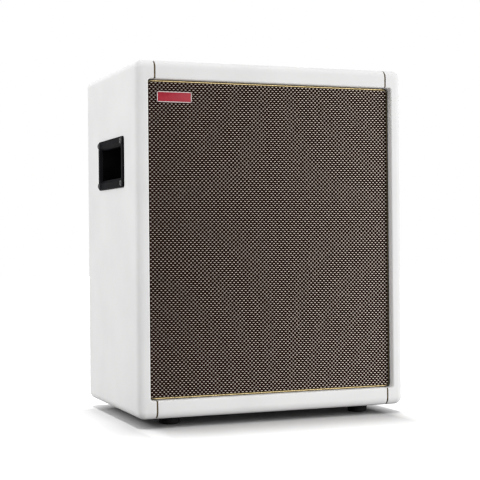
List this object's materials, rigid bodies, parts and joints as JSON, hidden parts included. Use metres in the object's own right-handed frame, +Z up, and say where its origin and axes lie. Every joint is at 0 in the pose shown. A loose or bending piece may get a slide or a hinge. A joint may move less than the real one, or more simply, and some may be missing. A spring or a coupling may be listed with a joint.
{
  "type": "guitar speaker cabinet",
  "caption": "Upright closed speaker cabinet with a recessed cloth grille, side handles, rubber feet and a powered back panel.",
  "frame": {"origin": "on the floor under the middle of the cabinet", "axes": "+X to the right seen from the grille side, the grille faces -Y, +Z up"},
  "size_m": [0.4234, 0.277, 0.512],
  "materials": {
    "vinyl": "grained",
    "plywood": "satin",
    "black_board": "matte",
    "grille_cloth": "woven",
    "gold_piping": "woven",
    "hook_tape": "matte",
    "badge_red": "gloss",
    "badge_pale": "gloss",
    "handle_plastic": "satin",
    "foot_rubber": "matte",
    "black_screw": "satin",
    "zinc_screw": "satin",
    "basket_steel": "satin",
    "gasket_foam": "matte",
    "surround_cloth": "matte",
    "cone_paper": "matte",
    "coil_copper": "satin",
    "spider_cloth": "matte",
    "plate_steel": "satin",
    "ferrite": "matte",
    "terminal_brass": "satin",
    "horn_plastic": "matte",
    "driver_metal": "satin",
    "chassis_black": "satin",
    "zinc_sheet": "satin",
    "circuit_green": "gloss",
    "spacer_brass": "satin",
    "supply_dark": "matte",
    "sink_aluminium": "satin",
    "control_plastic": "satin",
    "switch_metal": "satin",
    "nut_nickel": "gloss",
    "wire_jacket": "satin"
  },
  "bodies": {
    "cabinet": {"covering_left": "vinyl", "covering_right": "vinyl", "covering_top": "vinyl", "covering_bottom": "vinyl", "left_side_panel": "plywood", "right_side_panel": "plywood", "top_panel": "plywood", "bottom_panel": "plywood", "top_front_rail": "plywood", "bottom_front_rail": "plywood", "baffle_cleats": "plywood", "back_cleats": "plywood", "baffle_board": "black_board", "back_panel": "black_board", "grille_frame": "black_board", "grille_cloth": "grille_cloth", "grille_piping": "gold_piping", "grille_pads": "hook_tape", "badge_plate": "badge_red", "badge_border": "badge_pale", "handle_left": "handle_plastic", "handle_right": "handle_plastic", "foot_front_left": "foot_rubber", "foot_front_right": "foot_rubber", "foot_rear_left": "foot_rubber", "foot_rear_right": "foot_rubber", "handle_screws": "black_screw", "back_panel_screws": "black_screw", "amp_chassis_screws": "black_screw", "foot_screws": "zinc_screw", "driver_screws": "zinc_screw", "woofer_basket": "basket_steel", "woofer_gasket": "gasket_foam", "woofer_surround": "surround_cloth", "woofer_spider": "spider_cloth", "woofer_top_plate": "plate_steel", "woofer_back_plate": "plate_steel", "woofer_magnet": "ferrite", "woofer_terminals": "terminal_brass", "horn_flare": "horn_plastic", "horn_driver": "driver_metal", "amp_chassis": "chassis_black", "amp_cover": "zinc_sheet", "amp_board": "circuit_green", "amp_spacers": "spacer_brass", "power_supply": "supply_dark", "heat_sink": "sink_aluminium", "mains_inlet": "control_plastic", "power_switch_housing": "control_plastic", "jack_sockets": "control_plastic", "volume_pot": "switch_metal", "voicing_switch": "switch_metal", "panel_nuts": "nut_nickel", "speaker_wires": "wire_jacket"},
    "cone": {"woofer_cone": "cone_paper", "woofer_dust_cap": "cone_paper", "woofer_voice_coil": "coil_copper"},
    "knob": {"volume_knob": "control_plastic"},
    "rocker": {"power_rocker": "control_plastic"},
    "lever": {"voicing_lever": "nut_nickel"}
  },
  "joints": [
    {"name": "cone_travel", "type": "slide", "parent": "cabinet", "child": "cone", "axis": [0, -1, 0], "range_m": [-0.005, 0.005], "stiffness_N_per_m": 2500, "deforming": ["woofer_surround", "woofer_spider"]},
    {"name": "volume_turn", "type": "hinge", "parent": "cabinet", "child": "knob", "pos_m": [0.0022, 0.114, 0.402], "axis": [0, 1, 0], "range_deg": [-150, 150]},
    {"name": "power_rock", "type": "hinge", "parent": "cabinet", "child": "rocker", "pos_m": [0.0418, 0.114, 0.402], "axis": [1, 0, 0], "range_deg": [0, 18]},
    {"name": "voicing_tip", "type": "hinge", "parent": "cabinet", "child": "lever", "pos_m": [-0.0286, 0.114, 0.402], "axis": [1, 0, 0], "range_deg": [-10, 10]}
  ]
}
